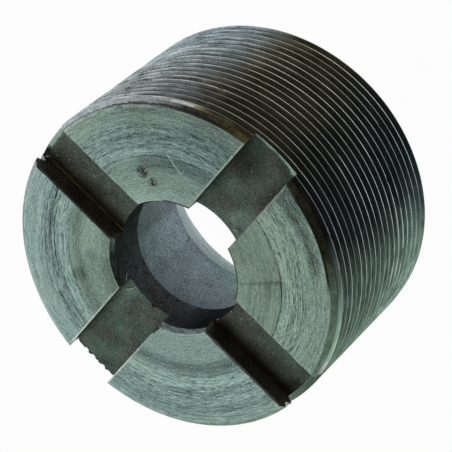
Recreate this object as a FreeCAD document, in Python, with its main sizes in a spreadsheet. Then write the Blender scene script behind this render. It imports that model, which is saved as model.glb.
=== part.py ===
import FreeCAD, Part
import os
import re
import Sketcher

# Threaded bushing: a steel sleeve turned from bar, with a stepped bore, a fine thread outside
# and four driving slots in its face. It stands on its plain end, slotted face up, axis on Z.
# The thread itself is too fine to be cut in the solid: the barrel is at the crests' diameter.

NODE = "threaded_bushing"

# Driving dimensions in millimetres and degrees. The bore and the slots are sunk from the slotted face,
# the countersink from the rear end.
DIMENSIONS = {
    "total_height": 20.0,
    "thread_diameter": 32.8,
    "face_chamfer": 0.6,
    "rear_chamfer": 0.8,
    "bore_diameter": 12.8,
    "bore_depth": 4.75,
    "mouth_chamfer": 0.3,
    "counterbore_diameter": 16.0,
    "countersink_depth": 5.5,
    "countersink_half_angle": 30.0,
    "slot_width": 5.0,
    "slot_depth": 1.9,
}

# Half section, from the rear rim outwards, up the barrel, over the face and down the bore.
# Each corner has a name, its radius and its height, worked out from the sheet's cells.
COUNTERSINK_SPREAD = "countersink_depth * tan(countersink_half_angle * 1 deg)"
SECTION = [
    ("countersink_rim", f"counterbore_diameter / 2 + {COUNTERSINK_SPREAD}", "0"),
    ("rear_edge", "thread_diameter / 2 - rear_chamfer", "0"),
    ("barrel_start", "thread_diameter / 2", "rear_chamfer"),
    ("barrel_end", "thread_diameter / 2", "total_height - face_chamfer"),
    ("face_edge", "thread_diameter / 2 - face_chamfer", "total_height"),
    ("mouth_edge", "bore_diameter / 2 + mouth_chamfer", "total_height"),
    ("bore_start", "bore_diameter / 2", "total_height - mouth_chamfer"),
    ("bore_end", "bore_diameter / 2", "total_height - bore_depth"),
    ("counterbore_start", "counterbore_diameter / 2", "total_height - bore_depth"),
    ("counterbore_end", "counterbore_diameter / 2", "countersink_depth"),
]

SKETCH_ORIGIN = (-1, 1)
HORIZONTAL_AXIS = -1


def make_sheet(doc):
    """The driving dimensions, one named cell each."""
    sheet = doc.addObject("Spreadsheet::Sheet", "Dimensions")
    for row, (name, value) in enumerate(DIMENSIONS.items(), start=1):
        sheet.set(f"A{row}", name)
        sheet.set(f"B{row}", str(value))
        sheet.setAlias(f"B{row}", name)
    doc.recompute()
    return sheet


def in_sheet(expression):
    """The same expression with every dimension's name pointing to its cell."""
    names = "|".join(DIMENSIONS)
    return re.sub(rf"\b({names})\b", r"Dimensions.\1", expression)


def size_now(item, expression):
    """What the expression comes to with the sheet's present numbers."""
    return float(item.evalExpression(in_sheet(expression)))


def origin_feature(body, role):
    return next(feature for feature in body.Origin.OriginFeatures if feature.Role == role)


def new_sketch(body, name, plane):
    sketch = body.newObject("Sketcher::SketchObject", name)
    sketch.AttachmentSupport = [(origin_feature(body, plane), "")]
    sketch.MapMode = "FlatFace"
    return sketch


def bind(sketch, kind, places, name, expression):
    """A driving constraint whose value comes from the sheet."""
    index = sketch.addConstraint(Sketcher.Constraint(kind, *places, size_now(sketch, expression)))
    sketch.renameConstraint(index, name)
    sketch.setExpression(f"Constraints.{name}", in_sheet(expression))


def draw_outline(sketch, points):
    """A closed outline of straight lines, each starting where the last one ends."""
    count = len(points)
    for number in range(count):
        start = FreeCAD.Vector(*points[number], 0)
        end = FreeCAD.Vector(*points[(number + 1) % count], 0)
        sketch.addGeometry(Part.LineSegment(start, end), False)
    for number in range(count):
        sketch.addConstraint(Sketcher.Constraint("Coincident", number, 2, (number + 1) % count, 1))


def turn_blank(body, doc):
    """Bar stock turned, bored through, counterbored and countersunk from the rear."""
    sketch = new_sketch(body, "half_section", "XZ_Plane")
    corners = [(size_now(sketch, radius), size_now(sketch, height)) for _, radius, height in SECTION]
    draw_outline(sketch, corners)
    for number, (name, radius, height) in enumerate(SECTION):
        corner = (*SKETCH_ORIGIN, number, 1)
        bind(sketch, "DistanceX", corner, f"{name}_radius", radius)
        if height == "0":
            sketch.addConstraint(Sketcher.Constraint("PointOnObject", number, 1, HORIZONTAL_AXIS))
        else:
            bind(sketch, "DistanceY", corner, f"{name}_height", height)
    turned = body.newObject("PartDesign::Revolution", "turned_blank")
    turned.Profile = sketch
    turned.ReferenceAxis = (sketch, ["V_Axis"])
    turned.Angle = 360.0
    doc.recompute()
    return turned


def mill_slots(body, doc):
    """One slot milled right across the face, and a second one square to it."""
    sketch = new_sketch(body, "slot_outline", "XY_Plane")
    sketch.setExpression("AttachmentOffset.Base.z", in_sheet("total_height"))
    travel = "thread_diameter + slot_width"
    end = size_now(sketch, travel) / 2
    side = size_now(sketch, "slot_width") / 2
    draw_outline(sketch, [(-end, -side), (end, -side), (end, side), (-end, side)])
    for line, direction in enumerate(("Horizontal", "Vertical", "Horizontal", "Vertical")):
        sketch.addConstraint(Sketcher.Constraint(direction, line))
    sketch.addConstraint(Sketcher.Constraint("Symmetric", 0, 1, 2, 1, *SKETCH_ORIGIN))
    bind(sketch, "DistanceX", (0, 1, 0, 2), "cutter_travel", travel)
    bind(sketch, "DistanceY", (1, 1, 1, 2), "cutter_width", "slot_width")
    slot = body.newObject("PartDesign::Pocket", "driving_slot")
    slot.Profile = sketch
    slot.setExpression("Length", in_sheet("slot_depth"))
    doc.recompute()
    crossed = body.newObject("PartDesign::PolarPattern", "crossed_slots")
    crossed.Originals = [slot]
    crossed.Axis = (origin_feature(body, "Z_Axis"), [""])
    crossed.Angle = 90.0
    crossed.Occurrences = 2
    body.Tip = crossed
    doc.recompute()
    return slot, crossed


def check(doc, stages):
    """Every object has been worked out, every sketch is held, and every cut takes metal away."""
    for item in doc.Objects:
        if "Invalid" in item.State or "Error" in item.State:
            raise RuntimeError(f"{item.Name} failed: {item.State}")
        if item.isDerivedFrom("Sketcher::SketchObject") and not item.FullyConstrained:
            raise RuntimeError(f"{item.Name} is not fully constrained")
    for stage in stages:
        if stage.Shape.isNull() or not stage.Shape.isValid():
            raise RuntimeError(f"{stage.Name} has no valid shape")
    volumes = [stage.Shape.Volume for stage in stages]
    for before, after, stage in zip(volumes, volumes[1:], stages[1:]):
        if after >= before:
            raise RuntimeError(f"{stage.Name} cuts nothing")
    print("volumes in cubic millimetres:", [round(volume, 1) for volume in volumes])


doc = FreeCAD.newDocument("ThreadedBushing")
make_sheet(doc)
bushing = doc.addObject("PartDesign::Body", NODE)
bushing.Label = NODE
bushing.Placement = FreeCAD.Placement()
turned_blank = turn_blank(bushing, doc)
driving_slot, crossed_slots = mill_slots(bushing, doc)
check(doc, [turned_blank, driving_slot, crossed_slots])

solid = bushing.Shape
if len(solid.Solids) != 1 or not solid.isValid():
    raise RuntimeError("the bushing is not one valid solid")
os.makedirs("parts", exist_ok=True)
solid.exportStep(f"parts/{bushing.Label}.step")
box = solid.BoundBox
print("size in millimetres:", [round(side, 3) for side in (box.XLength, box.YLength, box.ZLength)])
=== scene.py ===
import math
import random

import bpy
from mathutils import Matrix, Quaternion, Vector, noise


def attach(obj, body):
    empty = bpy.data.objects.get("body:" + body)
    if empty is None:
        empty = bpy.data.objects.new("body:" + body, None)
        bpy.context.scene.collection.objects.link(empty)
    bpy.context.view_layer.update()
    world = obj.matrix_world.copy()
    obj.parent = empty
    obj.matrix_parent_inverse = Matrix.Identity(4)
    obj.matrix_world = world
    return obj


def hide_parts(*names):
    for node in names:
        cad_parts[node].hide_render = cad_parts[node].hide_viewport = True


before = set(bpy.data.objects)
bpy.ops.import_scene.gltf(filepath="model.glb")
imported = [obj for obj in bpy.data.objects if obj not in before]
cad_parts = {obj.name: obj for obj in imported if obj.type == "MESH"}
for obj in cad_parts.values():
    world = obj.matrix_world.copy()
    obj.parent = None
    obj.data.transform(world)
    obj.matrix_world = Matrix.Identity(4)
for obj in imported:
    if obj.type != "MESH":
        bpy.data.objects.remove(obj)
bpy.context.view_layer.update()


# The bushing itself: one piece of steel bar, turned, bored and threaded on a lathe. The thread is a
# right-hand helix of one millimetre pitch. Two crossed slots for a tool are milled in the face.
# Sizes are in millimetres.
MM = 0.001
COLUMNS = 240
height = 20.0
crest_radius = 16.4
pitch = 1.0
first_crest = -0.873
laps = range(-1, 22)
bar_bottom, bar_top = first_crest - 2, first_crest + 24
run_out_from, run_out_to = 19.42, 19.56
land_taper = math.tan(math.radians(10))
nick_share, nick_depth = 0.012, 0.07
wear_depth, wear_around, wear_along = 0.012, 9, 0.6

# One groove, going up from the middle of a crest: height in pitches, depth below the crest.
GROOVE = [
    (0.000, 0.000), (0.034, 0.000), (0.042, 0.008), (0.375, 0.554), (0.420, 0.606), (0.500, 0.630),
    (0.580, 0.606), (0.625, 0.554), (0.958, 0.008), (0.966, 0.000),
]


def mesh_object(name, points, faces):
    """A mesh from points in millimetres."""
    mesh = bpy.data.meshes.new(name)
    mesh.from_pydata([Vector(point) * MM for point in points], [], faces)
    mesh.validate()
    made = bpy.data.objects.new(name, mesh)
    bpy.context.collection.objects.link(made)
    return made


def land_depth(part, z):
    """How far the plain land above the last crest has tapered in, at a part of a turn and a height."""
    last_crest = first_crest + (math.ceil(run_out_from - part) + part) * pitch
    return land_taper * max(0.0, z - last_crest - GROOVE[1][0] * pitch)


def groove_share(turn):
    """1 where the groove is cut full depth, 0 past the place where the tool leaves the metal."""
    share = (run_out_to - turn) / (run_out_to - run_out_from)
    share = min(max(share, 0.0), 1.0)
    return share * share * (3 - 2 * share)


def threaded_bar():
    """A solid bar with the thread on it, longer than the bushing, its crests worn and nicked in places."""
    chance = random.Random(7)
    rows = [(lap, rise, depth) for lap in laps for rise, depth in GROOVE]
    points = []
    for column in range(COLUMNS):
        part = column / COLUMNS
        angle = 2 * math.pi * part
        around = Vector((math.cos(angle), math.sin(angle), 0))
        nicks = []
        for _ in range(len(laps) + 1):
            nicks.append(nick_depth * chance.random() if chance.random() < nick_share else 0.0)
        for lap, rise, depth in rows:
            turn = lap + part
            z = first_crest + (turn + rise) * pitch
            share = groove_share(turn)
            on_crest = depth < 0.01 and share > 0.9
            nick = nicks[lap - laps[0] + round(rise)] if on_crest else 0.0
            wear = wear_depth * abs(noise.noise(around * wear_around + Vector((0, 0, z * wear_along))))
            radius = crest_radius - depth * share - land_depth(part, z) * (1 - share) - nick - wear
            points.append((*(around.xy * radius), z))
    count, lap_rows = len(rows), len(GROOVE)
    last = (COLUMNS - 1) * count
    faces = []
    for column in range(COLUMNS - 1):
        here, there = column * count, (column + 1) * count
        for row in range(count - 1):
            faces.append((here + row, there + row, there + row + 1, here + row + 1))
    for row in range(count - 1 - lap_rows):
        faces.append((last + row, row + lap_rows, row + lap_rows + 1, last + row + 1))
    bottom_ring = [column * count for column in range(COLUMNS)] + list(range(lap_rows, 0, -1))
    top_ring = list(range(last + count - 1 - lap_rows, last + count - 1))
    top_ring += [column * count + count - 1 for column in reversed(range(COLUMNS))]
    for ring, end in ((bottom_ring, bar_bottom), (top_ring, bar_top)):
        points.append((0, 0, end))
        for a, b in zip(ring, ring[1:] + ring[:1]):
            faces.append((len(points) - 1, b, a))
    return mesh_object("threaded_bar", points, faces)


blank_radius, face_radius = 16.9, 15.78
rear_radius, rear_chamfer_top = 15.6, 1.3
chamfer_foot, chamfer_rim, chamfer_top = 18.93, 15.85, 19.98
bore_radius, shoulder_height = 6.40, 15.25
counterbore_radius, flare_radius, flare_height = 8.0, 11.175, 5.5
mouth_radius, mouth_rounding, mouth_lip, mouth_foot = 6.72, 0.06, 19.97, 19.42
sharp_side, sharp_narrowing, sharp_rise = math.radians(235.0), 0.14, 0.33


def blank_section(angle):
    """Half section, proud of the thread so that only its chamfers and its bore cut the threaded bar.
    The mouth of the bore is scraped, and less so on its sharp side."""
    sharp = max(0.0, math.cos(angle - sharp_side)) ** 2
    mouth = mouth_radius - sharp_narrowing * sharp
    return [
        (flare_radius, 0.0), (rear_radius, 0.0), (blank_radius, rear_chamfer_top),
        (blank_radius, chamfer_foot), (chamfer_rim, chamfer_top), (face_radius, height),
        (mouth, height), (mouth - mouth_rounding, mouth_lip),
        (bore_radius, mouth_foot + sharp_rise * sharp), (bore_radius, shoulder_height),
        (counterbore_radius, shoulder_height), (counterbore_radius, flare_height),
    ]


def turned_blank():
    """The bar as it is turned and bored, before the thread and the slots are cut."""
    points, faces = [], []
    corners = len(blank_section(0.0))
    for column in range(COLUMNS):
        angle = 2 * math.pi * (column + 0.5) / COLUMNS
        for radius, z in blank_section(angle):
            points.append((radius * math.cos(angle), radius * math.sin(angle), z))
        here, there = column * corners, (column + 1) % COLUMNS * corners
        for corner in range(corners):
            after = (corner + 1) % corners
            faces.append((here + corner, there + corner, there + after, here + after))
    return mesh_object("turned_blank", points, faces)


slot_half, slot_floor, slot_shift = 2.5, 18.1, 0.16
cutter_reach, cutter_step, cutter_lift = 18.0, 0.25, 1.0
broken_edge, edge_unevenness, edge_ripple, edge_overrun = 0.13, 0.07, 0.9, 0.1
chip_middle, chip_half, chip_depth = 6.55, 0.75, 0.26


def wall_side(offset):
    """Which way a slot's wall lies at an offset from the slot's middle: 1, -1, or 0 off the walls."""
    return math.copysign(1, offset) if abs(abs(offset) - slot_half) < 0.001 else 0


def slot_cutter():
    """The metal that the crossed slots take away, with their broken edges. One slot is off centre."""
    w, end = slot_half, cutter_reach
    near, far = slot_shift - w, slot_shift + w
    corners = [
        (end, near), (end, far), (w, far), (w, end), (-w, end), (-w, far),
        (-end, far), (-end, near), (-w, near), (-w, -end), (w, -end), (w, near),
    ]
    outline = []
    for (x0, y0), (x1, y1) in zip(corners, corners[1:] + corners[:1]):
        steps = max(1, round(math.hypot(x1 - x0, y1 - y0) / cutter_step))
        outline.extend((x0 + (x1 - x0) * k / steps, y0 + (y1 - y0) * k / steps) for k in range(steps))
    points = []
    for x, y in outline:
        chip = 0.0
        if x < 0 and y > far:
            chip = chip_depth * max(0.0, 1 - abs(y - chip_middle) / chip_half)
        ripple = noise.noise(Vector((x * edge_ripple, y * edge_ripple, 3.0)))
        edge = broken_edge + edge_unevenness * ripple
        over = edge + edge_overrun
        out_x, out_y = wall_side(x), wall_side(y - slot_shift)
        profile = [(0, slot_floor), (0, height - edge)]
        profile += [(over, height + edge_overrun), (over, height + cutter_lift)]
        for spread, z in profile:
            points.append((x + out_x * (spread + chip), y + out_y * spread, z))
    levels, count = len(profile), len(outline)
    faces = [tuple(k * levels for k in reversed(range(count)))]
    faces.append(tuple(k * levels + levels - 1 for k in range(count)))
    for k in range(count):
        here, there = k * levels, (k + 1) % count * levels
        for level in range(levels - 1):
            faces.append((here + level, there + level, there + level + 1, here + level + 1))
    return mesh_object("slot_cutter", points, faces)


def work(target, tool, operation):
    """Cuts the target with a tool solid, which is then gone."""
    step = target.modifiers.new("cut", "BOOLEAN")
    step.operation = operation
    step.solver = "EXACT"
    step.object = tool
    bpy.context.view_layer.update()
    graph = bpy.context.evaluated_depsgraph_get()
    result = bpy.data.meshes.new_from_object(target.evaluated_get(graph))
    target.modifiers.clear()
    target.data = result
    bpy.data.objects.remove(tool)


bushing = turned_blank()
bushing.name = "bushing"
work(bushing, threaded_bar(), "INTERSECT")
work(bushing, slot_cutter(), "DIFFERENCE")


class Nodes:
    """Adds nodes to one tree and joins them up."""

    def __init__(self, tree):
        self.tree = tree

    def add(self, kind, inputs=None, **settings):
        """A node of a kind, with its settings, and its inputs fed."""
        made = self.tree.nodes.new("ShaderNode" + kind)
        for key, value in settings.items():
            setattr(made, key, value)
        for key, value in (inputs or {}).items():
            self.feed(made.inputs[key], value)
        return made

    def feed(self, socket, value):
        if isinstance(value, bpy.types.NodeSocket):
            self.tree.links.new(value, socket)
        elif socket.type == "RGBA" and len(value) == 3:
            socket.default_value = (*value, 1.0)
        else:
            socket.default_value = value

    def calc(self, operation, a, b=0.0, c=0.0):
        """A sum with numbers."""
        return self.add("Math", {0: a, 1: b, 2: c}, operation=operation).outputs[0]

    def plus(self, total, pattern, weight=1.0):
        """A total with a pattern added, by its weight."""
        return self.calc("MULTIPLY_ADD", pattern, weight, total)

    def product(self, first, *others):
        for other in others:
            first = self.calc("MULTIPLY", first, other)
        return first

    def most(self, first, *others):
        for other in others:
            first = self.calc("MAXIMUM", first, other)
        return first

    def step(self, value, low, high, to_low=0.0, to_high=1.0):
        """A soft step of one value into another between two limits."""
        return self.add("MapRange", {
            "Value": value, "From Min": low, "From Max": high, "To Min": to_low, "To Max": to_high,
        }, interpolation_type="SMOOTHSTEP").outputs[0]

    def under(self, value, low, high):
        """1 up to the lower limit, falling to 0 at the upper one."""
        return self.step(value, low, high, 1.0, 0.0)

    def fade(self, pattern, off, on):
        """One number where a pattern is 0, another where it is 1."""
        return self.step(pattern, 0.0, 1.0, off, on)

    def band(self, value, middle, half):
        """1 in the middle of a band, falling to 0 at its edges."""
        gap = self.calc("ABSOLUTE", self.calc("SUBTRACT", value, middle))
        return self.under(gap, 0.0, half)

    def vector(self, operation, a, b=None):
        """A sum with vectors: its number where it gives one, or else its vector."""
        made = self.add("VectorMath", {0: a} if b is None else {0: a, 1: b}, operation=operation)
        gives_number = operation in ("DOT_PRODUCT", "DISTANCE", "LENGTH")
        return made.outputs["Value" if gives_number else "Vector"]

    def mix(self, share, first, second):
        """Two numbers mixed."""
        return self.add("Mix", {"Factor": share, 2: first, 3: second}).outputs[0]

    def blend(self, share, first, second):
        """Two colours mixed."""
        return self.add("Mix", {"Factor": share, 6: first, 7: second}, data_type="RGBA").outputs[2]

    def scaled(self, colour, level):
        """A colour made brighter or darker."""
        if not isinstance(colour, bpy.types.NodeSocket):
            colour = self.add("CombineXYZ", dict(zip("XYZ", colour))).outputs[0]
        return self.add("VectorMath", {0: colour, "Scale": level}, operation="SCALE").outputs[0]

    def uneven(self, *parts):
        """1, more or less, from several patterns round a half, each with its weight."""
        total = 1.0 - 0.5 * sum(weight for _, weight in parts)
        for pattern, weight in parts:
            total = self.plus(total, pattern, weight)
        return self.most(total, 0.12)


class Finish(Nodes):
    """One finish of the steel. Its patterns follow the place on the bushing in millimetres."""

    def __init__(self, name, level=0.0):
        self.material = bpy.data.materials.new(name)
        self.material.use_nodes = True
        super().__init__(self.material.node_tree)
        self.level = level
        self.shader = self.tree.nodes["Principled BSDF"]
        self.shader.inputs["Metallic"].default_value = 1.0
        self.place = self.scaled(self.add("TexCoord").outputs["Object"], 1 / MM)
        parts = self.add("SeparateXYZ", {0: self.place}).outputs
        self.x, self.y, self.z = parts["X"], parts["Y"], parts["Z"]
        flat = self.vector("MULTIPLY", self.place, (1, 1, 0))
        self.radius = self.vector("LENGTH", flat)
        self.outward = self.vector("NORMALIZE", flat)

    def at(self, place):
        """A place with its height, which is the finish's own level if none is given."""
        return Vector((*place, self.level)[:3])

    def speckle(self, scale, detail=2.0, roughness=0.5, stretch=None, place=None):
        place = place or self.place
        if stretch:
            place = self.vector("MULTIPLY", place, stretch)
        made = self.add("TexNoise", {
            "Vector": place, "Scale": scale, "Detail": detail, "Roughness": roughness})
        return made.outputs["Fac"]

    def turning_marks(self, across, around, detail=2.0):
        """Streaks that run round the axis: fine across the radius, longer round the circle."""
        turned = self.add("SeparateXYZ", {0: self.outward}).outputs
        ring = self.add("CombineXYZ", {
            "X": self.product(self.radius, across),
            "Y": self.product(turned["X"], around),
            "Z": self.product(turned["Y"], around),
        }).outputs[0]
        return self.speckle(1.0, detail, place=ring)

    def facing(self, degrees, inner, outer):
        """1 on the side that faces an angle, falling to 0 between two angles from it."""
        turn = math.radians(degrees)
        share = self.vector("DOT_PRODUCT", self.outward, (math.cos(turn), math.sin(turn), 0))
        return self.step(share, math.cos(math.radians(outer)), math.cos(math.radians(inner)))

    def spot(self, middle, size):
        """1 in the middle of a round spot, falling to 0 at its rim."""
        gap = self.vector("DISTANCE", self.place, self.at(middle))
        return self.under(gap, 0.3 * size, size)

    def line(self, start, end, width):
        """1 on the straight line between two places, falling to 0 at its width."""
        start, end = self.at(start), self.at(end)
        run = end - start
        away = self.vector("SUBTRACT", self.place, start)
        along = self.most(self.vector("DOT_PRODUCT", away, run / run.length_squared), 0.0)
        foot = self.scaled(run, self.calc("MINIMUM", along, 1.0))
        return self.under(self.vector("DISTANCE", away, foot), 0.0, width)

    def surface(self, **values):
        """The finished material, with the shader's sockets set, such as base_color and roughness."""
        for name, value in values.items():
            self.feed(self.shader.inputs[name.replace("_", " ").title()], value)
        return self.material

    def relief(self, pattern, strength, depth):
        bump = self.add("Bump", {"Height": pattern, "Strength": strength, "Distance": depth * MM})
        return bump.outputs["Normal"]


class FacedEnd(Finish):
    """The faced end: concentric streaks of the facing tool outside a ring near mid radius, smoother within.
    Its quarters between the slots are named as the camera sees them."""

    def __init__(self):
        super().__init__("turned_face", height)
        self.left = self.facing(40, 30, 70)
        self.right = self.facing(-135, 25, 70)
        self.top = self.facing(-45, 30, 60)
        self.bottom = self.facing(135, 30, 60)
        self.ring = self.plus(self.radius, self.plus(-0.15, self.speckle(0.25), 0.3))
        self.outer = self.step(self.ring, 10.9, 11.15)
        self.streaks = self.turning_marks(9, 4)
        self.arcs = self.turning_marks(3.8, 5, 3)
        self.hairs = self.turning_marks(13, 12, 1)
        self.dashes = self.turning_marks(9, 24)
        self.bands = self.turning_marks(1.2, 0.7)
        self.grain = self.speckle(6.5, 3, 0.7)
        self.coarse = self.tooled(1.5, 0.5, 1.5, 1.7, 0.3, 1.9)
        self.fine = self.tooled(0.7, 0.3, 0.7, 0.8, 0.3, 1.7)

    def tooled(self, *weights):
        """All kinds of tool marks together, each with its weight."""
        patterns = (self.streaks, self.arcs, self.hairs, self.dashes, self.bands, self.grain)
        return self.uneven(*zip(patterns, weights))

    def streaked(self):
        """How bright the tool has left the face. Some zones have calmer streaks, but as much grain."""
        zones = (
            (self.right, 13.2, 13.9), (self.top, 13.9, 14.5),
            (self.left, 13.5, 14.1, 0.0, 0.7), (self.bottom, 13.6, 14.3, 0.0, 0.6),
            (self.left, 10.9, 11.1, 0.8, 0.0), (self.bottom, 10.9, 11.1, 0.6, 0.0))
        calm = self.most(*(self.product(side, self.step(self.ring, *limits)) for side, *limits in zones))
        departure = self.calc("SUBTRACT", self.mix(self.outer, self.fine, self.coarse), 1.0)
        level = self.plus(1.0, departure, self.fade(calm, 1.0, 0.55))
        return self.plus(level, self.product(self.calc("SUBTRACT", self.grain, 0.5), calm), 1.4)

    def on_ring(self, middle, half):
        return self.band(self.ring, middle, half)

    def rings(self):
        """Thin dark rings and arcs, then zones of each quarter: the weight of each, then its patterns."""
        ring, on_ring = self.ring, self.on_ring
        left, right, top, bottom = self.left, self.right, self.top, self.bottom
        broken = self.step(self.arcs, 0.62, 0.42, 0.25, 1.0)
        return [
            (-0.35, broken, on_ring(11.0, 0.10)),
            (-0.40, right, on_ring(11.0, 0.12)),
            (-0.75, broken, self.facing(29, 16, 26), on_ring(13.05, 0.13)),
            (-0.60, broken, self.facing(50, 20, 30), on_ring(12.55, 0.11)),
            (-0.35, broken, left, on_ring(12.20, 0.09)),
            (-0.25, broken, left, on_ring(13.60, 0.09)),
            (-0.08, on_ring(13.0, 0.9)),
            (0.16, on_ring(11.6, 0.6)),
            (0.20, left, on_ring(12.0, 0.45)),
            (-0.38, left, on_ring(10.3, 1.1)),
            (-0.30, left, self.under(ring, 6.8, 8.4)),
            (0.20, left, self.step(ring, 13.7, 14.5)),
            (0.26, bottom, on_ring(12.0, 0.45)),
            (-0.40, bottom, on_ring(10.2, 1.0)),
            (-0.12, bottom, on_ring(14.6, 0.8)),
            (-0.14, top, on_ring(12.0, 0.45)),
            (-0.14, top, on_ring(10.3, 1.0)),
            (-0.12, top, on_ring(14.0, 0.6)),
            (0.24, top, self.under(ring, 7.2, 8.6)),
            (0.14, right, on_ring(10.3, 1.0)),
            (0.10, right, on_ring(13.9, 0.5)),
        ]

    def smudges(self):
        """Paler and darker places, then smudges and scratches: the weight of each, then its patterns."""
        ring, on_ring, facing = self.ring, self.on_ring, self.facing
        patchy = self.step(self.grain, 0.42, 0.55)
        return [
            (-0.52, facing(-102, 4, 12), self.step(ring, 13.2, 14.6)),
            (-0.46, facing(-121, 5, 15), on_ring(14.6, 0.9)),
            (0.14, facing(-146, 10, 24), self.under(ring, 7.4, 8.6)),
            (0.16, facing(46, 8, 20), on_ring(10.5, 0.8)),
            (-0.20, facing(60, 8, 22), self.under(ring, 9.6, 10.4)),
            (0.12, facing(-17, 8, 24)),
            (0.15, facing(-33, 8, 18), on_ring(10.7, 0.8)),
            (-0.25, facing(-44, 6, 14), self.step(ring, 14.9, 15.4)),
            (-0.26, facing(-56, 14, 30), on_ring(10.4, 1.2)),
            (-0.20, facing(-76, 8, 20), self.step(ring, 11.0, 12.5)),
            (-0.30, self.line((-5.5, -4.3), (-7.9, -7.37), 0.30)),
            (-0.18, self.spot((-8.0, -6.5), 1.6)),
            (-0.52, patchy, self.spot((6.166, 8.413), 1.1)),
            (-0.42, patchy, self.spot((6.527, 5.625), 0.9)),
            (0.85, self.line((7.02, -8.85), (5.03, -8.32), 0.11)),
            (0.45, self.line((5.03, -8.32), (4.93, -8.82), 0.10)),
        ]

    def steel_hue(self, level):
        """Grey-green steel, warmer inside the ring, on the right and along the top, with painted light:
        brighter towards the lit back, and by a different amount in each quarter inside and outside the ring.
        """
        rim = self.product(self.step(self.ring, 13.6, 15.0), self.top, 0.8)
        warm = self.plus(self.step(level, 0.4, 1.6, 0.1, 0.7), self.most(self.right, rim), 0.55)
        warm = self.plus(warm, self.fade(self.outer, 0.25, 0.0))
        warm = self.plus(warm, self.left, self.fade(self.outer, 0.45, 0.0))
        warm = self.plus(warm, self.plus(-0.6, self.speckle(0.35), 1.2))
        # Painted light: brighter towards the lit back, then more or less in each quarter, inside and outside
        # the ring.
        broad_level = self.step(self.y, -12.0, 10.0, 0.96, 1.10)
        for side, within, outside in (
                (self.left, 0.20, 0.03), (self.right, -0.06, 0.14),
                (self.top, 0.02, -0.02), (self.bottom, 0.14, 0.10)):
            broad_level = self.plus(broad_level, side, self.fade(self.outer, within, outside))
        hue = self.blend(self.step(warm, 0.0, 1.4), (0.274, 0.366, 0.364), (0.300, 0.372, 0.306))
        return self.scaled(hue, self.product(level, broad_level))

    def rubbed_rims(self):
        """Where handling has rubbed the outer rim, the rim of the bore and the edges along the slots."""
        rims = self.most(self.step(self.radius, 15.62, 15.74), self.under(self.radius, 6.72, 6.86))
        rims = self.product(rims, self.step(self.right, 0.0, 0.6, 1.0, 0.1))
        rims = self.product(rims, self.fade(self.facing(-62, 12, 18), 1.0, 0.2))
        along_y = self.under(self.calc("ABSOLUTE", self.x), 2.62, 2.74)
        along_x = self.step(self.y, slot_shift - 2.78, slot_shift - 2.62)
        along_x = self.product(along_x, self.under(self.y, 0.0, 0.1))
        patchy = self.step(self.speckle(1.4, 3), 0.38, 0.55)
        return self.product(self.most(rims, along_x, along_y), patchy, 0.75)

    def scraped_mouth(self, colour):
        """The mouth of the bore: scraped bright below, darker on the left, and painted nearly black with
        shade under its top lip.
        """
        mouth = self.under(self.radius, 6.64, 6.70)
        scraped = self.uneven((self.turning_marks(14, 9), 3.4))
        for side, hue in (
                (self.bottom, (0.62, 0.80, 0.76)),
                (self.facing(40, 45, 65), (0.115, 0.132, 0.126)),
                (self.facing(26, 5, 14), (0.48, 0.58, 0.55))):
            colour = self.blend(self.product(mouth, side), colour, self.scaled(hue, scraped))
        # Painted shade under the top lip of the mouth, nearly black.
        painted_lip_shade = self.product(self.under(self.radius, 6.74, 6.82), self.facing(-61, 13, 18))
        painted_lip_shade = self.most(painted_lip_shade, self.product(mouth, self.facing(-38, 26, 40)))
        colour = self.blend(painted_lip_shade, colour, (0.030, 0.036, 0.032))
        return self.blend(self.product(mouth, self.right), colour, (0.10, 0.125, 0.11))

    def finished(self):
        level = self.streaked()
        for weight, *patterns in self.rings() + self.smudges():
            level = self.plus(level, self.product(*patterns), weight)
        level = self.most(level, 0.15)
        colour = self.steel_hue(level)
        pits = self.most(self.spot((7.757, -5.478), 0.85), self.spot((6.462, -5.478), 0.62))
        pits = self.product(pits, self.step(self.speckle(4), 0.36, 0.52))
        colour = self.blend(pits, colour, (0.05, 0.045, 0.03))
        colour = self.blend(self.rubbed_rims(), colour, (0.56, 0.62, 0.57))
        colour = self.scraped_mouth(colour)
        creeping_oil = self.product(self.facing(-120, 13, 21), self.step(self.radius, 15.58, 15.66))
        colour = self.blend(creeping_oil, colour, (0.022, 0.026, 0.020))
        roughness = self.step(level, 0.5, 1.5, 0.50, 0.36)
        normal = self.relief(self.coarse, 0.25, 0.02)
        return self.surface(base_color=colour, roughness=roughness, normal=normal)


def turned_rear():
    """The plain end that the bushing stands on: faced in the lathe, with fine even rings."""
    steel = Finish("turned_rear")
    rings = steel.turning_marks(6, 4)
    level = steel.uneven((rings, 1.6), (steel.speckle(6.5, 3, 0.7), 1.6))
    colour = steel.scaled((0.285, 0.368, 0.345), level)
    return steel.surface(base_color=colour, roughness=0.42, normal=steel.relief(rings, 0.25, 0.02))


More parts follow.
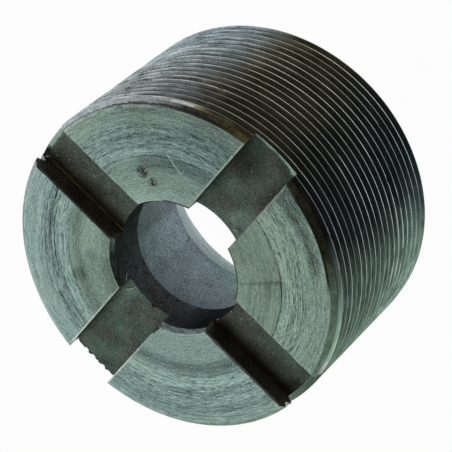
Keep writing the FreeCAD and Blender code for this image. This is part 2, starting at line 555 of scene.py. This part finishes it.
class CutThread(Finish):
    """The thread: cut steel with tool streaks along it, painted shade and some dirt in its roots, painted
    light and shade on its sides, and brown oil on one side.
    """

    def __init__(self):
        super().__init__("thread_steel")
        self.streaks = self.speckle(1.0, 3.0, 0.55, (0.30, 0.30, 2.6))
        self.hairs = self.speckle(1.0, stretch=(0.6, 0.6, 9.0))
        self.broad_level = self.speckle(0.30, 3)
        self.depth = self.calc("SUBTRACT", crest_radius, self.radius)
        self.left = self.facing(0, 20, 75)
        self.right = self.facing(185, 10, 55)
        self.rear = self.step(self.z, 14.0, 2.0)

    def cut_level(self):
        """How bright the tool has left the metal, darker down in the roots with painted shade and some dirt.
        """
        grain = self.speckle(6, 3, 0.7)
        rough = self.uneven((self.streaks, 1.3), (self.hairs, 3.2), (self.broad_level, 0.5), (grain, 2.4))
        level = self.plus(1.0, self.calc("SUBTRACT", rough, 1.0), self.fade(self.left, 0.50, 1.0))
        level = self.product(level, self.fade(self.facing(0, 5, 36), 1.0, 0.82))
        # Painted shade, with some dirt: the roots darken with their depth.
        dirt = self.step(self.depth, 0.06, 0.27)
        return self.product(level, self.plus(1.0, dirt, self.fade(self.left, -0.22, -0.68)))

    def flanks(self):
        """The hue of the grooves: grey on the left and green on the right, painted tints of the light on each
        side; between them dark with painted shade and brown with oil; painted shade and light on the side
        turned away, and painted light where it glances at the right rear.
        """
        # Grey on the left and green on the right, darker at the right front and brighter at its rear: painted
        # light, tinted as the light on each side.
        left_hue = self.blend(self.rear, (0.405, 0.448, 0.446), (0.393, 0.490, 0.510))
        right_hue = self.blend(self.rear, (0.31, 0.385, 0.332), (0.46, 0.585, 0.555))
        hue = self.blend(self.right, left_hue, right_hue)
        # Painted shade on the side towards the front, brownish to bluish.
        painted_shade_tint = self.blend(self.facing(-130, 5, 30), (0.54, 0.50, 0.47), (0.48, 0.50, 0.56))
        hue = self.blend(self.facing(-105, 15, 60), hue, self.vector("MULTIPLY", hue, painted_shade_tint))
        from_oil = self.vector("SUBTRACT", self.place, (4.2, -15.9, 10.0))
        from_oil = self.vector("LENGTH", self.vector("MULTIPLY", from_oil, (1.0, 1.0, 0.25)))
        oil = self.under(self.plus(from_oil, self.broad_level, 5.0), 4.5, 9.5)
        hue = self.blend(oil, hue, (0.52, 0.47, 0.27))
        # Painted shade at the front and painted light at the rear, on the side turned away.
        painted_shade_and_light = self.scaled(hue, self.fade(self.rear, 0.76, 1.16))
        hue = self.blend(self.facing(-58, 6, 24), hue, painted_shade_and_light)
        # Painted light where the light glances, at the right rear.
        painted_glancing_light = self.product(self.facing(-142, 12, 28), self.step(self.z, 6.0, 2.0))
        return self.scaled(hue, self.fade(painted_glancing_light, 1.0, 1.45))

    def crests(self, hue):
        """The crests, rubbed bright in places, and on the right rubbed to a polish in lines painted near
        white as a highlight, and scored lines.
        """
        crest_hue = self.blend(self.right, (0.55, 0.59, 0.59), (0.46, 0.53, 0.49))
        crest_hue = self.blend(self.facing(-70, 18, 34), crest_hue, (0.56, 0.545, 0.48))
        rubs = self.speckle(1.0, stretch=(0.10, 0.10, 0.8))
        crest_hue = self.scaled(crest_hue, self.step(rubs, 0.38, 0.62, 0.55, 1.3))
        hue = self.blend(self.under(self.depth, 0.012, 0.035), hue, crest_hue)
        # Crests rubbed to a polish at the right rear, painted near white as a highlight.
        polished = self.product(self.step(self.streaks, 0.42, 0.52), self.under(self.depth, 0.04, 0.10))
        polished = self.product(polished, self.facing(212, 15, 28), self.band(self.z, 6.2, 5.0))
        hue = self.blend(polished, hue, (0.95, 1.0, 0.96))
        scored = self.product(self.band(self.depth, 0.27, 0.05), self.step(self.hairs, 0.42, 0.58))
        return self.blend(self.product(scored, self.right, 0.8), hue, (0.78, 0.88, 0.83))

    def finished(self):
        level = self.cut_level()
        colour = self.scaled(self.crests(self.flanks()), level)
        land = self.product(self.step(self.depth, 0.015, 0.05), self.step(self.z, 18.8, 18.95))
        patchy = self.step(self.hairs, 0.30, 0.60, 0.45, 1.0)
        yellow = self.product(land, self.facing(-67, 5, 11), patchy)
        colour = self.blend(yellow, colour, (0.44, 0.38, 0.14))
        brown = self.product(land, self.facing(-80, 8, 16), self.fade(yellow, 1.0, 0.0))
        colour = self.blend(brown, colour, (0.17, 0.125, 0.055))
        dull = self.product(land, self.step(self.z, 19.27, 19.36), self.facing(-160, 30, 50))
        colour = self.blend(dull, colour, self.scaled((0.10, 0.135, 0.105), level))
        # A rubbed patch on the land, painted near white as a highlight.
        rubbed = self.line((8.18, -14.16, 19.32), (9.84, -13.06, 19.32), 0.32)
        rubbed = self.product(rubbed, self.step(self.hairs, 0.36, 0.52))
        colour = self.blend(rubbed, colour, (0.72, 0.76, 0.77))
        below_slot = self.product(self.facing(180, 8, 13), self.step(self.z, 17.0, 17.4))
        colour = self.scaled(colour, self.fade(below_slot, 1.0, 0.55))
        roughness = self.step(self.streaks, 0.3, 0.7, 0.12, 0.23)
        metallic = self.plus(1.0, self.most(yellow, brown), -0.6)
        return self.surface(base_color=colour, roughness=roughness, metallic=metallic)


def chamfer_steel():
    """The chamfer round the face: oily dirt at the side of one slot, and a dark ragged line at its inner
    edge, painted as shade beside the torn lip.
    """
    steel = Finish("chamfer_steel")
    streaks = steel.turning_marks(5, 6)
    blotches = steel.speckle(1.1, 3, 0.6)
    grain = steel.speckle(8)
    level = steel.uneven((streaks, 1.1), (blotches, 1.6), (grain, 1.6))
    hue = steel.blend(steel.facing(195, 30, 80), (0.44, 0.48, 0.485), (0.29, 0.36, 0.30))
    ragged = steel.plus(steel.calc("SUBTRACT", steel.radius, 0.18), steel.speckle(1.7, 4, 0.75), 0.36)
    yellow = steel.product(steel.facing(-80, 4, 11), steel.step(ragged, 15.95, 16.35, 1.0, 0.5))
    brown = steel.blend(yellow, (0.152, 0.116, 0.088), (0.38, 0.31, 0.12))
    brown = steel.scaled(brown, steel.uneven((blotches, 3.2), (grain, 2.2)))
    brown = steel.scaled(brown, steel.fade(steel.facing(-115, 6, 14), 1.0, 0.66))
    oily = steel.facing(-92, 30, 46)
    colour = steel.blend(oily, steel.scaled(hue, level), brown)
    green = steel.product(steel.under(ragged, 15.90, 15.96), steel.facing(-22, 26, 38))
    colour = steel.blend(green, colour, steel.scaled((0.27, 0.35, 0.31), level))
    narrowed = steel.plus(ragged, steel.fade(steel.facing(-62, 16, 44), 0.10, 0.0))
    # Painted shade: a dark ragged line beside the torn lip.
    lip = steel.product(steel.under(narrowed, 16.05, 16.11), steel.facing(-38, 30, 46))
    lip = steel.product(lip, steel.under(green, 0.3, 0.7), 0.88)
    colour = steel.blend(lip, colour, (0.062, 0.054, 0.054))
    return steel.surface(
        base_color=colour, roughness=0.34, metallic=steel.fade(oily, 1.0, 0.55),
        specular_tint=(0.34, 0.43, 0.42), normal=steel.relief(streaks, 0.2, 0.02))


def slot_floors(steel, level):
    """The floors' grey-green milled metal, darker where oil lies and paler where it is rubbed."""
    mottled = steel.step(steel.speckle(0.45, 3, 0.6), 0.44, 0.60)
    colour = steel.scaled(steel.blend(mottled, (0.110, 0.147, 0.122), (0.126, 0.136, 0.120)), level)
    oil = steel.most(steel.spot((1.9, -12.8), 2.6), steel.line((-2.4, -10.8), (-2.4, -13.2), 1.3))
    rubbed = steel.most(steel.spot((-1.9, -7.6), 1.9), steel.line((2.2, 6.6), (1.9, 9.2), 1.5))
    outwards = steel.step(steel.calc("ABSOLUTE", steel.x), 4.5, 6.0)
    oily_side = steel.product(steel.step(steel.y, -1.2, 2.3), outwards)
    for share, strength, hue in (
            (oil, 0.75, (0.070, 0.066, 0.048)),
            (rubbed, 0.7, (0.24, 0.31, 0.27)),
            (oily_side, 0.75, (0.150, 0.134, 0.100))):
        colour = steel.blend(steel.product(share, strength), colour, steel.scaled(hue, level))
    return steel.scaled(colour, steel.step(steel.y, -9.0, -14.5, 1.0, 0.74))


def slot_rim(steel):
    """The bright torn rim at the outer ends of two slots."""
    wider = steel.step(steel.x, -1.0, -2.3, 0.0, 0.30)
    edge = steel.plus(steel.radius, steel.plus(wider, steel.speckle(1.6, 4, 0.6), 0.5))
    rim = steel.product(steel.step(edge, 16.06, 16.42), steel.facing(-45, 55, 75))
    return steel.product(rim, steel.fade(steel.spot((15.9, 2.15), 1.1), 1.0, 0.1))


def milled_slot():
    """The slots: rougher, darker metal left by the milling cutter, with brown oil along the walls."""
    steel = Finish("milled_slot", slot_floor)
    grain = steel.speckle(7, 3, 0.65)
    level = steel.uneven((steel.speckle(0.5, 3), 1.5), (grain, 2.8))
    rim = slot_rim(steel)
    colour = steel.blend(rim, slot_floors(steel, level), (0.61, 0.76, 0.69))
    colour = steel.blend(steel.spot((16.2, 2.1), 0.9), colour, (0.02, 0.022, 0.026))
    colour = steel.scaled(colour, steel.fade(steel.spot((-15.6, 1.5), 1.6), 1.0, 0.6))
    specks = steel.step(steel.speckle(4.5), 0.67, 0.72)
    specks = steel.product(specks, steel.step(steel.x, 3.0, 6.0, 0.5, 1.0))
    colour = steel.blend(specks, colour, (0.46, 0.50, 0.49))
    upright = steel.vector("DOT_PRODUCT", steel.add("NewGeometry").outputs["Normal"], (0, 0, 1))
    wall = steel.under(upright, 0.2, 0.6)
    colour = steel.blend(wall, colour, steel.scaled((0.14, 0.115, 0.085), level))
    corner_y = slot_shift + slot_half - 0.17
    corner = steel.line((4.6, corner_y), (15.6, corner_y), 0.16)
    corner = steel.product(corner, steel.step(steel.speckle(0.8), 0.3, 0.5, 0.5, 1.0))
    colour = steel.blend(corner, colour, (0.50, 0.42, 0.12))
    rust = steel.product(steel.spot((-1.1, 6.48), 0.52), steel.step(steel.speckle(4), 0.42, 0.56))
    colour = steel.blend(rust, colour, (0.20, 0.085, 0.03))
    # Painted shade: a near-black spot in the rust, where a small notch lies.
    colour = steel.blend(steel.spot((-0.80, 6.38), 0.34), colour, (0.015, 0.013, 0.011))
    metallic = steel.fade(steel.most(wall, corner, rust), 1.0, 0.65)
    metallic = steel.plus(steel.plus(metallic, corner, -0.5), rim, -0.55)
    return steel.surface(
        base_color=colour, roughness=0.48, metallic=metallic, normal=steel.relief(grain, 0.4, 0.03))


def worn_edge():
    """The edges of the slots, where handling has rubbed the metal bright."""
    steel = Finish("worn_edge", height)
    level = steel.uneven((steel.speckle(1.6, 3, 0.6), 1.6), (steel.speckle(8), 0.8))
    chipped = steel.spot((-slot_half, chip_middle), 1.4)
    beside_oil = steel.product(steel.step(steel.x, 2.6, 3.2), steel.step(steel.y, 2.0, 2.4))
    beside_oil = steel.product(beside_oil, steel.under(steel.y, 3.0, 3.2))
    lower = steel.product(steel.under(steel.x, -2.2, -2.0), steel.step(steel.y, 3.0, 3.2))
    oily = steel.facing(-105, 10, 16)
    for duller, share in ((chipped, 0.12), (oily, 0.38), (beside_oil, 0.45), (lower, 0.68)):
        level = steel.product(level, steel.fade(duller, 1.0, share))
    return steel.surface(base_color=steel.scaled((0.88, 0.94, 0.89), level), roughness=0.36)


def bored_wall():
    """The front of the bore: dark, dull and oily, stained brown here and there, nearly black below, with
    painted shade at its upper end.
    """
    steel = Finish("bored_wall")
    level = steel.uneven((steel.speckle(5, 3, 0.7), 4.0), (steel.speckle(0.6), 1.2))
    below = steel.facing(165, 12, 42)
    hue = steel.blend(below, (0.068, 0.074, 0.076), (0.026, 0.026, 0.029))
    stained = steel.step(steel.speckle(0.8, 3, 0.6), 0.48, 0.62, 0.0, 0.7)
    hue = steel.blend(stained, hue, steel.scaled((0.064, 0.052, 0.045), steel.fade(below, 1.0, 0.4)))
    # Painted shade at the upper end of the bore.
    hue = steel.scaled(hue, steel.fade(steel.facing(8, 4, 13), 1.0, 0.6))
    return steel.surface(base_color=steel.scaled(hue, level), roughness=0.5, specular_tint=(0.52, 0.54, 0.55))


def counterbore_wall():
    """The wider rear bore and its flared mouth: grey, finely speckled, brighter on the flare, and darker
    towards the shoulder with painted shade.
    """
    steel = Finish("counterbore_wall")
    level = steel.uneven((steel.speckle(6.5, 3, 0.7), 4.2), (steel.speckle(0.7, 3), 0.9))
    # Painted shade: darker towards the shoulder, brighter towards the rear.
    level = steel.product(level, steel.step(steel.z, 6.0, 14.5, 1.22, 0.66))
    level = steel.product(level, steel.fade(steel.facing(33, 10, 25), 1.0, 0.68))
    level = steel.product(level, steel.fade(steel.facing(65, 6, 16), 1.0, 1.15))
    flare = steel.blend(steel.step(steel.x, -1.0, 3.0), (0.210, 0.252, 0.270), (0.215, 0.272, 0.278))
    hue = steel.blend(steel.under(steel.z, 5.35, flare_height), (0.165, 0.200, 0.226), flare)
    dark_line = steel.product(steel.band(steel.z, 5.6, 0.22), 0.25)
    hue = steel.blend(dark_line, hue, (0.05, 0.06, 0.06))
    return steel.surface(base_color=steel.scaled(hue, level), roughness=0.46)


FACE, REAR, THREAD, CHAMFER, SLOT, EDGE, BORE, COUNTERBORE = range(8)
facing_up, floor_up, sloping_up = 0.95, 0.99, 0.3
face_slack, rear_slack, floor_slack, wall_slack, shoulder_slack = 0.03, 0.01, 0.01, 0.02, 0.05
edge_inner, edge_outer, edge_width, edge_depth = 6.9, 15.8, 0.2, 0.3
outside_radius = 14.0
chamfer_inner, chamfer_above, mouth_above = 15.7, 19.45, 19.6


def finish_of(side):
    """Which finish a face of the mesh has, by where it lies and which way it looks."""
    middle = side.center / MM
    radius = math.hypot(middle.x, middle.y)
    upright = side.normal.z
    beside_slot = min(abs(abs(middle.x) - slot_half), abs(abs(middle.y - slot_shift) - slot_half))
    if upright > facing_up and middle.z > height - face_slack:
        return FACE
    if upright < -facing_up and middle.z < rear_slack:
        return REAR
    if middle.z > slot_floor - floor_slack and (abs(upright) > floor_up or beside_slot < wall_slack):
        return SLOT
    if middle.z > height - edge_depth and beside_slot < edge_width and edge_inner < radius < edge_outer:
        return EDGE
    if radius > outside_radius:
        chamfered = upright > sloping_up and middle.z > chamfer_above and radius > chamfer_inner
        return CHAMFER if chamfered else THREAD
    if middle.z > mouth_above and upright > sloping_up:
        return FACE
    return BORE if middle.z > shoulder_height + shoulder_slack else COUNTERBORE


bushing.data.materials.clear()
for finish in (
        FacedEnd().finished(), turned_rear(), CutThread().finished(), chamfer_steel(),
        milled_slot(), worn_edge(), bored_wall(), counterbore_wall()):
    bushing.data.materials.append(finish)
for side in bushing.data.polygons:
    side.material_index = finish_of(side)
bushing.data.shade_smooth()
bushing.data.set_sharp_from_angle(angle=math.radians(35))
finishes = {}
for side in bushing.data.polygons:
    for key in side.edge_keys:
        finishes.setdefault(key, set()).add((side.material_index, side.normal.z > 0.999))
for edge in bushing.data.edges:
    if len(finishes[edge.key]) > 1:
        edge.use_edge_sharp = True
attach(bushing, "root")
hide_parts("threaded_bushing")


# The burrs: thin slivers of torn steel that the cutters left on the edges, still hanging on.
# They are bright where the metal tore, and each is a tapered thread of metal along a few points.
# A wider ragged strip, dull with dirt, hangs on at the outer end of one slot.
BURRS = [
    (0.12, [
        (-1.68, -6.44, 18.10), (-1.64, -6.64, 18.18), (-1.77, -6.86, 18.21), (-1.98, -6.96, 18.19),
        (-2.20, -6.93, 18.10)]),
    (0.13, [(2.20, 7.43, 18.11), (1.94, 7.00, 18.18), (1.74, 6.66, 18.17), (1.60, 6.30, 18.12)]),
    (0.10, [(2.02, 7.38, 18.12), (1.88, 7.06, 18.18), (1.80, 6.80, 18.14)]),
    (0.13, [(15.86, 2.58, 18.12), (15.80, 2.46, 18.34), (15.62, 2.32, 18.38), (15.50, 2.16, 18.22)]),
    (0.16, [(-6.14, 2.02, 18.08), (-6.02, 2.04, 18.28), (-5.98, 2.00, 18.34)]),
    (0.14, [(-6.44, 0.32, 18.08), (-6.42, 0.24, 18.26), (-6.44, 0.12, 18.26)]),
    (0.07, [(2.56, 5.93, 19.0), (2.60, 5.62, 19.08), (2.86, 5.28, 19.05), (2.95, 4.96, 19.0)]),
    (0.16, [(2.44, 5.98, 18.10), (2.36, 6.06, 18.19), (2.24, 6.10, 18.13)]),
    (0.09, [(-1.90, 6.22, 18.10), (-2.15, 6.18, 18.16), (-2.40, 6.08, 18.12)]),
    (0.13, [(12.95, -9.55, 19.80), (12.80, -9.74, 19.90), (12.63, -9.84, 19.82)]),
    (0.11, [(15.10, -5.62, 19.78), (15.02, -5.77, 19.90), (14.88, -5.98, 19.80)]),
    (0.09, [(13.85, -8.15, 19.82), (13.73, -8.32, 19.90), (13.55, -8.50, 19.84)]),
]
sliver_tip, sliver_belly = 0.25, 3.0
sliver_lean = Vector((0.3, 0.2, 1.0))
lip_count, lip_points, lip_thickness = 16, 5, 0.07
lip_from, lip_to = -47.0, -15.0
lip_radius, lip_height = 15.88, 19.93
strip_steps, strip_inner = 34, 15.95
strip_set_back, strip_swell, strip_undercut = 0.22, 0.14, 0.03
strip_depths = (0.02, 0.05, 0.16, 0.20)


def sliver(path, thickness):
    """A tapered three-sided thread of metal along a path of points in millimetres."""
    points, faces = [], []
    path = [Vector(point) for point in path]
    for number, point in enumerate(path):
        run = path[min(number + 1, len(path) - 1)] - path[max(number - 1, 0)]
        side = run.cross(sliver_lean).normalized()
        rise = side.cross(run).normalized()
        share = number / (len(path) - 1)
        width = thickness * (sliver_tip + sliver_belly * share * (1 - share))
        for corner in range(3):
            turn = 2 * math.pi * corner / 3
            points.append(point + (side * math.cos(turn) + rise * math.sin(turn)) * width / 2)
        if number:
            now, before = number * 3, number * 3 - 3
            for corner in range(3):
                after = (corner + 1) % 3
                faces.append((before + corner, before + after, now + after, now + corner))
    faces.append((2, 1, 0))
    faces.append((len(points) - 3, len(points) - 2, len(points) - 1))
    return points, faces


def lip_slivers():
    """Short torn lips along the upper left of the face's edge."""
    chance = random.Random(3)
    paths = []
    for _ in range(lip_count):
        start = chance.uniform(lip_from, lip_to)
        length = chance.uniform(1.0, 3.2)
        lift = chance.uniform(0.01, 0.06)
        path = []
        for number in range(lip_points):
            share = number / (lip_points - 1)
            angle = math.radians(start + length * share)
            radius = lip_radius + chance.uniform(-0.03, 0.05)
            z = lip_height + lift * math.sin(math.pi * share)
            path.append((radius * math.cos(angle), radius * math.sin(angle), z))
        paths.append((lip_thickness, path))
    return paths


def ragged_strip():
    """A torn strip of metal along the outer edge of one slot floor: four points across it at each step."""
    chance = random.Random(11)
    points, faces = [], []
    out = 0.0
    for number in range(strip_steps + 1):
        x = -slot_half + 2 * slot_half * number / strip_steps
        if number % 3 == 0:
            out = chance.uniform(0.02, 0.30)
        out = max(0.02, out + chance.uniform(-0.05, 0.05))
        inner_y = math.sqrt(strip_inner ** 2 - x * x)
        outer_y = math.sqrt(crest_radius ** 2 - x * x) - strip_set_back + out
        outer_y += strip_swell * max(0.0, -x / slot_half)
        sag = chance.uniform(0.0, 0.05)
        top, rim, rim_foot, foot = (slot_floor - depth for depth in strip_depths)
        points.extend([
            (x, inner_y, top), (x, outer_y, rim - sag),
            (x, outer_y - strip_undercut, rim_foot - sag), (x, inner_y, foot)])
    for number in range(strip_steps):
        here, there = number * 4, number * 4 + 4
        for corner in range(4):
            after = (corner + 1) % 4
            faces.append((here + corner, here + after, there + after, there + corner))
    faces.append((0, 1, 2, 3))
    faces.append((strip_steps * 4 + 3, strip_steps * 4 + 2, strip_steps * 4 + 1, strip_steps * 4))
    return points, faces


def joined(paths):
    """One mesh's points and faces from the slivers along several paths."""
    points, faces = [], []
    for thickness, path in paths:
        more_points, more_faces = sliver(path, thickness)
        faces.extend(tuple(number + len(points) for number in face) for face in more_faces)
        points.extend(more_points)
    return points, faces


def burr_metal(name, hue, grain, contrast, **values):
    """The steel of the burrs, with its hue, how fine its grain is and how strong."""
    steel = Finish(name)
    level = steel.uneven((steel.speckle(grain), contrast))
    return steel.surface(base_color=steel.scaled(hue, level), **values)


torn_metal = burr_metal("torn_metal", (0.84, 0.89, 0.84), 6.0, 1.4, roughness=0.4, metallic=0.2)
dull_metal = burr_metal("dull_metal", (0.07, 0.09, 0.085), 5.0, 1.6, roughness=0.45)
for name, (points, faces), metal in (
        ("edge_burrs", joined(BURRS), torn_metal),
        ("torn_lip", joined(lip_slivers()), torn_metal),
        ("slot_end_burr", ragged_strip(), dull_metal)):
    burrs = mesh_object(name, points, faces)
    burrs.data.materials.append(metal)
    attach(burrs, "root")


# The floor: a plain table covered with white paper, on which the bushing stands.
# It shows white to the camera and in the metal, and keeps the bushing's soft shadow.
floor_half, floor_level = 2000.0, -0.02
paper_colour, white_share = (0.85, 0.85, 0.85), 0.97
floor = mesh_object("floor", [
    (-floor_half, -floor_half, floor_level), (floor_half, -floor_half, floor_level),
    (floor_half, floor_half, floor_level), (-floor_half, floor_half, floor_level),
], [(0, 1, 2, 3)])
paper = bpy.data.materials.new("white_paper")
paper.use_nodes = True
paper.cycles.emission_sampling = "NONE"
paper.node_tree.nodes.clear()
table = Nodes(paper.node_tree)
ray = table.add("LightPath").outputs
seen = table.most(ray["Is Camera Ray"], ray["Is Glossy Ray"], ray["Is Transmission Ray"])
white = table.add("Emission", {"Color": (1, 1, 1), "Strength": 1.0}).outputs[0]
matt = table.add("BsdfDiffuse", {"Color": paper_colour}).outputs[0]
shown = table.add("MixShader", {0: table.product(seen, white_share), 1: matt, 2: white}).outputs[0]
table.add("OutputMaterial", {"Surface": shown})
floor.data.materials.append(paper)


# Studio light: a soft bright dome behind and to the left of the bushing, dark behind the camera.
# A glowing card on the table in front, seen only in the metal, is a painted reflection: grey near the bushing
# and black further out, it darkens the barrel.
green_light, dome_blue, card_blue = (0.82, 1.0, 0.87), (0.97, 1.0, 1.03), (0.97, 1.0, 1.01)
mean_light, light_swing, least_light, dark_share = 0.38, 0.55, 0.30, 0.12
bright_side, camera_side = (0.55, 1.0, 0.0), (-0.05, -0.50, 0.86)
room = bpy.data.worlds.new("studio")
room.use_nodes = True
dome = Nodes(room.node_tree)
toward = dome.add("TexCoord").outputs["Generated"]
bright = dome.plus(mean_light, dome.vector("DOT_PRODUCT", toward, bright_side), light_swing)
bright = dome.most(bright, least_light)
to_right = dome.most(dome.vector("DOT_PRODUCT", toward, (-1.0, 0.0, 0.0)), 0.0)
to_camera = dome.plus(dome.vector("DOT_PRODUCT", toward, camera_side), to_right, 0.05)
bright = dome.product(bright, dome.step(to_camera, 0.52, 0.84, 1.0, dark_share))
to_left = dome.step(dome.vector("DOT_PRODUCT", toward, (1.0, 0.0, 0.0)), -0.6, 0.6)
sky = dome.tree.nodes["Background"]
dome.feed(sky.inputs["Color"], dome.blend(to_left, green_light, dome_blue))
dome.feed(sky.inputs["Strength"], bright)
bpy.context.scene.world = room

card_reach, card_front, card_level = 400.0, 10.0, 0.3
left_angle, left_widening = 28.0, 16.0
right_angle, right_widening, right_flare = 43.0, 19.0, 10.0
grey_from, grey_to, black_from, black_to = 17 * MM, 32 * MM, 31 * MM, 37 * MM
near_grey, far_grey, black, right_glow, bare_glow = 0.92, 0.42, 0.01, 0.34, 0.78
card = mesh_object("reflection_card", [
    (-card_reach, card_front, card_level), (-card_reach, -card_reach, card_level),
    (card_reach, -card_reach, card_level), (card_reach, card_front, card_level),
], [(0, 1, 2, 3)])
# The card's glow is a painted reflection: the camera, diffuse light and shadows don't see it.
card_glow = bpy.data.materials.new("painted_reflection")
card_glow.use_nodes = True
card_glow.cycles.emission_sampling = "NONE"
card_glow.node_tree.nodes.clear()
glow_tree = Nodes(card_glow.node_tree)
on_card = glow_tree.add("TexCoord").outputs["Object"]
from_axis = glow_tree.vector("LENGTH", glow_tree.vector("MULTIPLY", on_card, (1, 1, 0)))
along = glow_tree.add("SeparateXYZ", {0: on_card}).outputs
side_angle = glow_tree.calc("DEGREES", glow_tree.calc("ARCTAN2", along["X"], glow_tree.product(along["Y"], -1.0)))
spread = glow_tree.step(from_axis, crest_radius * MM, grey_to)
left_edge = glow_tree.plus(left_angle, spread, left_widening)
left_gap = glow_tree.calc("SUBTRACT", side_angle, left_edge)
right_edge = glow_tree.plus(right_angle, spread, right_widening)
right_edge = glow_tree.plus(right_edge, glow_tree.step(from_axis, 33 * MM, 38 * MM), right_flare)
right_gap = glow_tree.calc("SUBTRACT", glow_tree.product(side_angle, -1.0), right_edge)
covered = glow_tree.product(glow_tree.under(left_gap, -4.0, 4.0), glow_tree.under(right_gap, -6.0, 8.0))
shade = glow_tree.step(from_axis, grey_from, grey_to, near_grey, far_grey)
shade = glow_tree.product(shade, glow_tree.step(from_axis, black_from, black_to, 1.0, black))
right_share = glow_tree.step(side_angle, -66.0, -40.0, right_glow, black)
shade = glow_tree.plus(shade, right_share, glow_tree.step(from_axis, black_from, black_to))
card_hue = glow_tree.blend(glow_tree.step(side_angle, -75.0, -35.0), (0.80, 1.0, 0.87), card_blue)
glow = glow_tree.mix(covered, bare_glow, shade)
lit = glow_tree.add("Emission", {"Color": card_hue, "Strength": glow}).outputs[0]
glow_tree.add("OutputMaterial", {"Surface": lit})
card.data.materials.append(card_glow)
card.visible_camera = False
card.visible_diffuse = False
card.visible_shadow = False


# The camera: a long lens that looks down on the slotted end from in front of the bushing.
# It is turned on its side, so that the thread runs to the upper right of the picture.
camera_place = Vector((-13.983, -137.590, 184.477)) * MM
camera_aim = Vector((-0.258, 0.078, 10.042)) * MM
camera_roll = math.radians(131.007)
lens = bpy.data.cameras.new("camera")
lens.lens = 189.19
lens.sensor_width = 36.0
camera = bpy.data.objects.new("camera", lens)
camera.location = camera_place
camera.rotation_mode = "QUATERNION"
level_view = (camera_aim - camera_place).to_track_quat("-Z", "Y")
camera.rotation_quaternion = level_view @ Quaternion((0, 0, 1), -camera_roll)
bpy.context.collection.objects.link(camera)
bpy.context.scene.camera = camera
bpy.context.scene.view_settings.view_transform = "Standard"
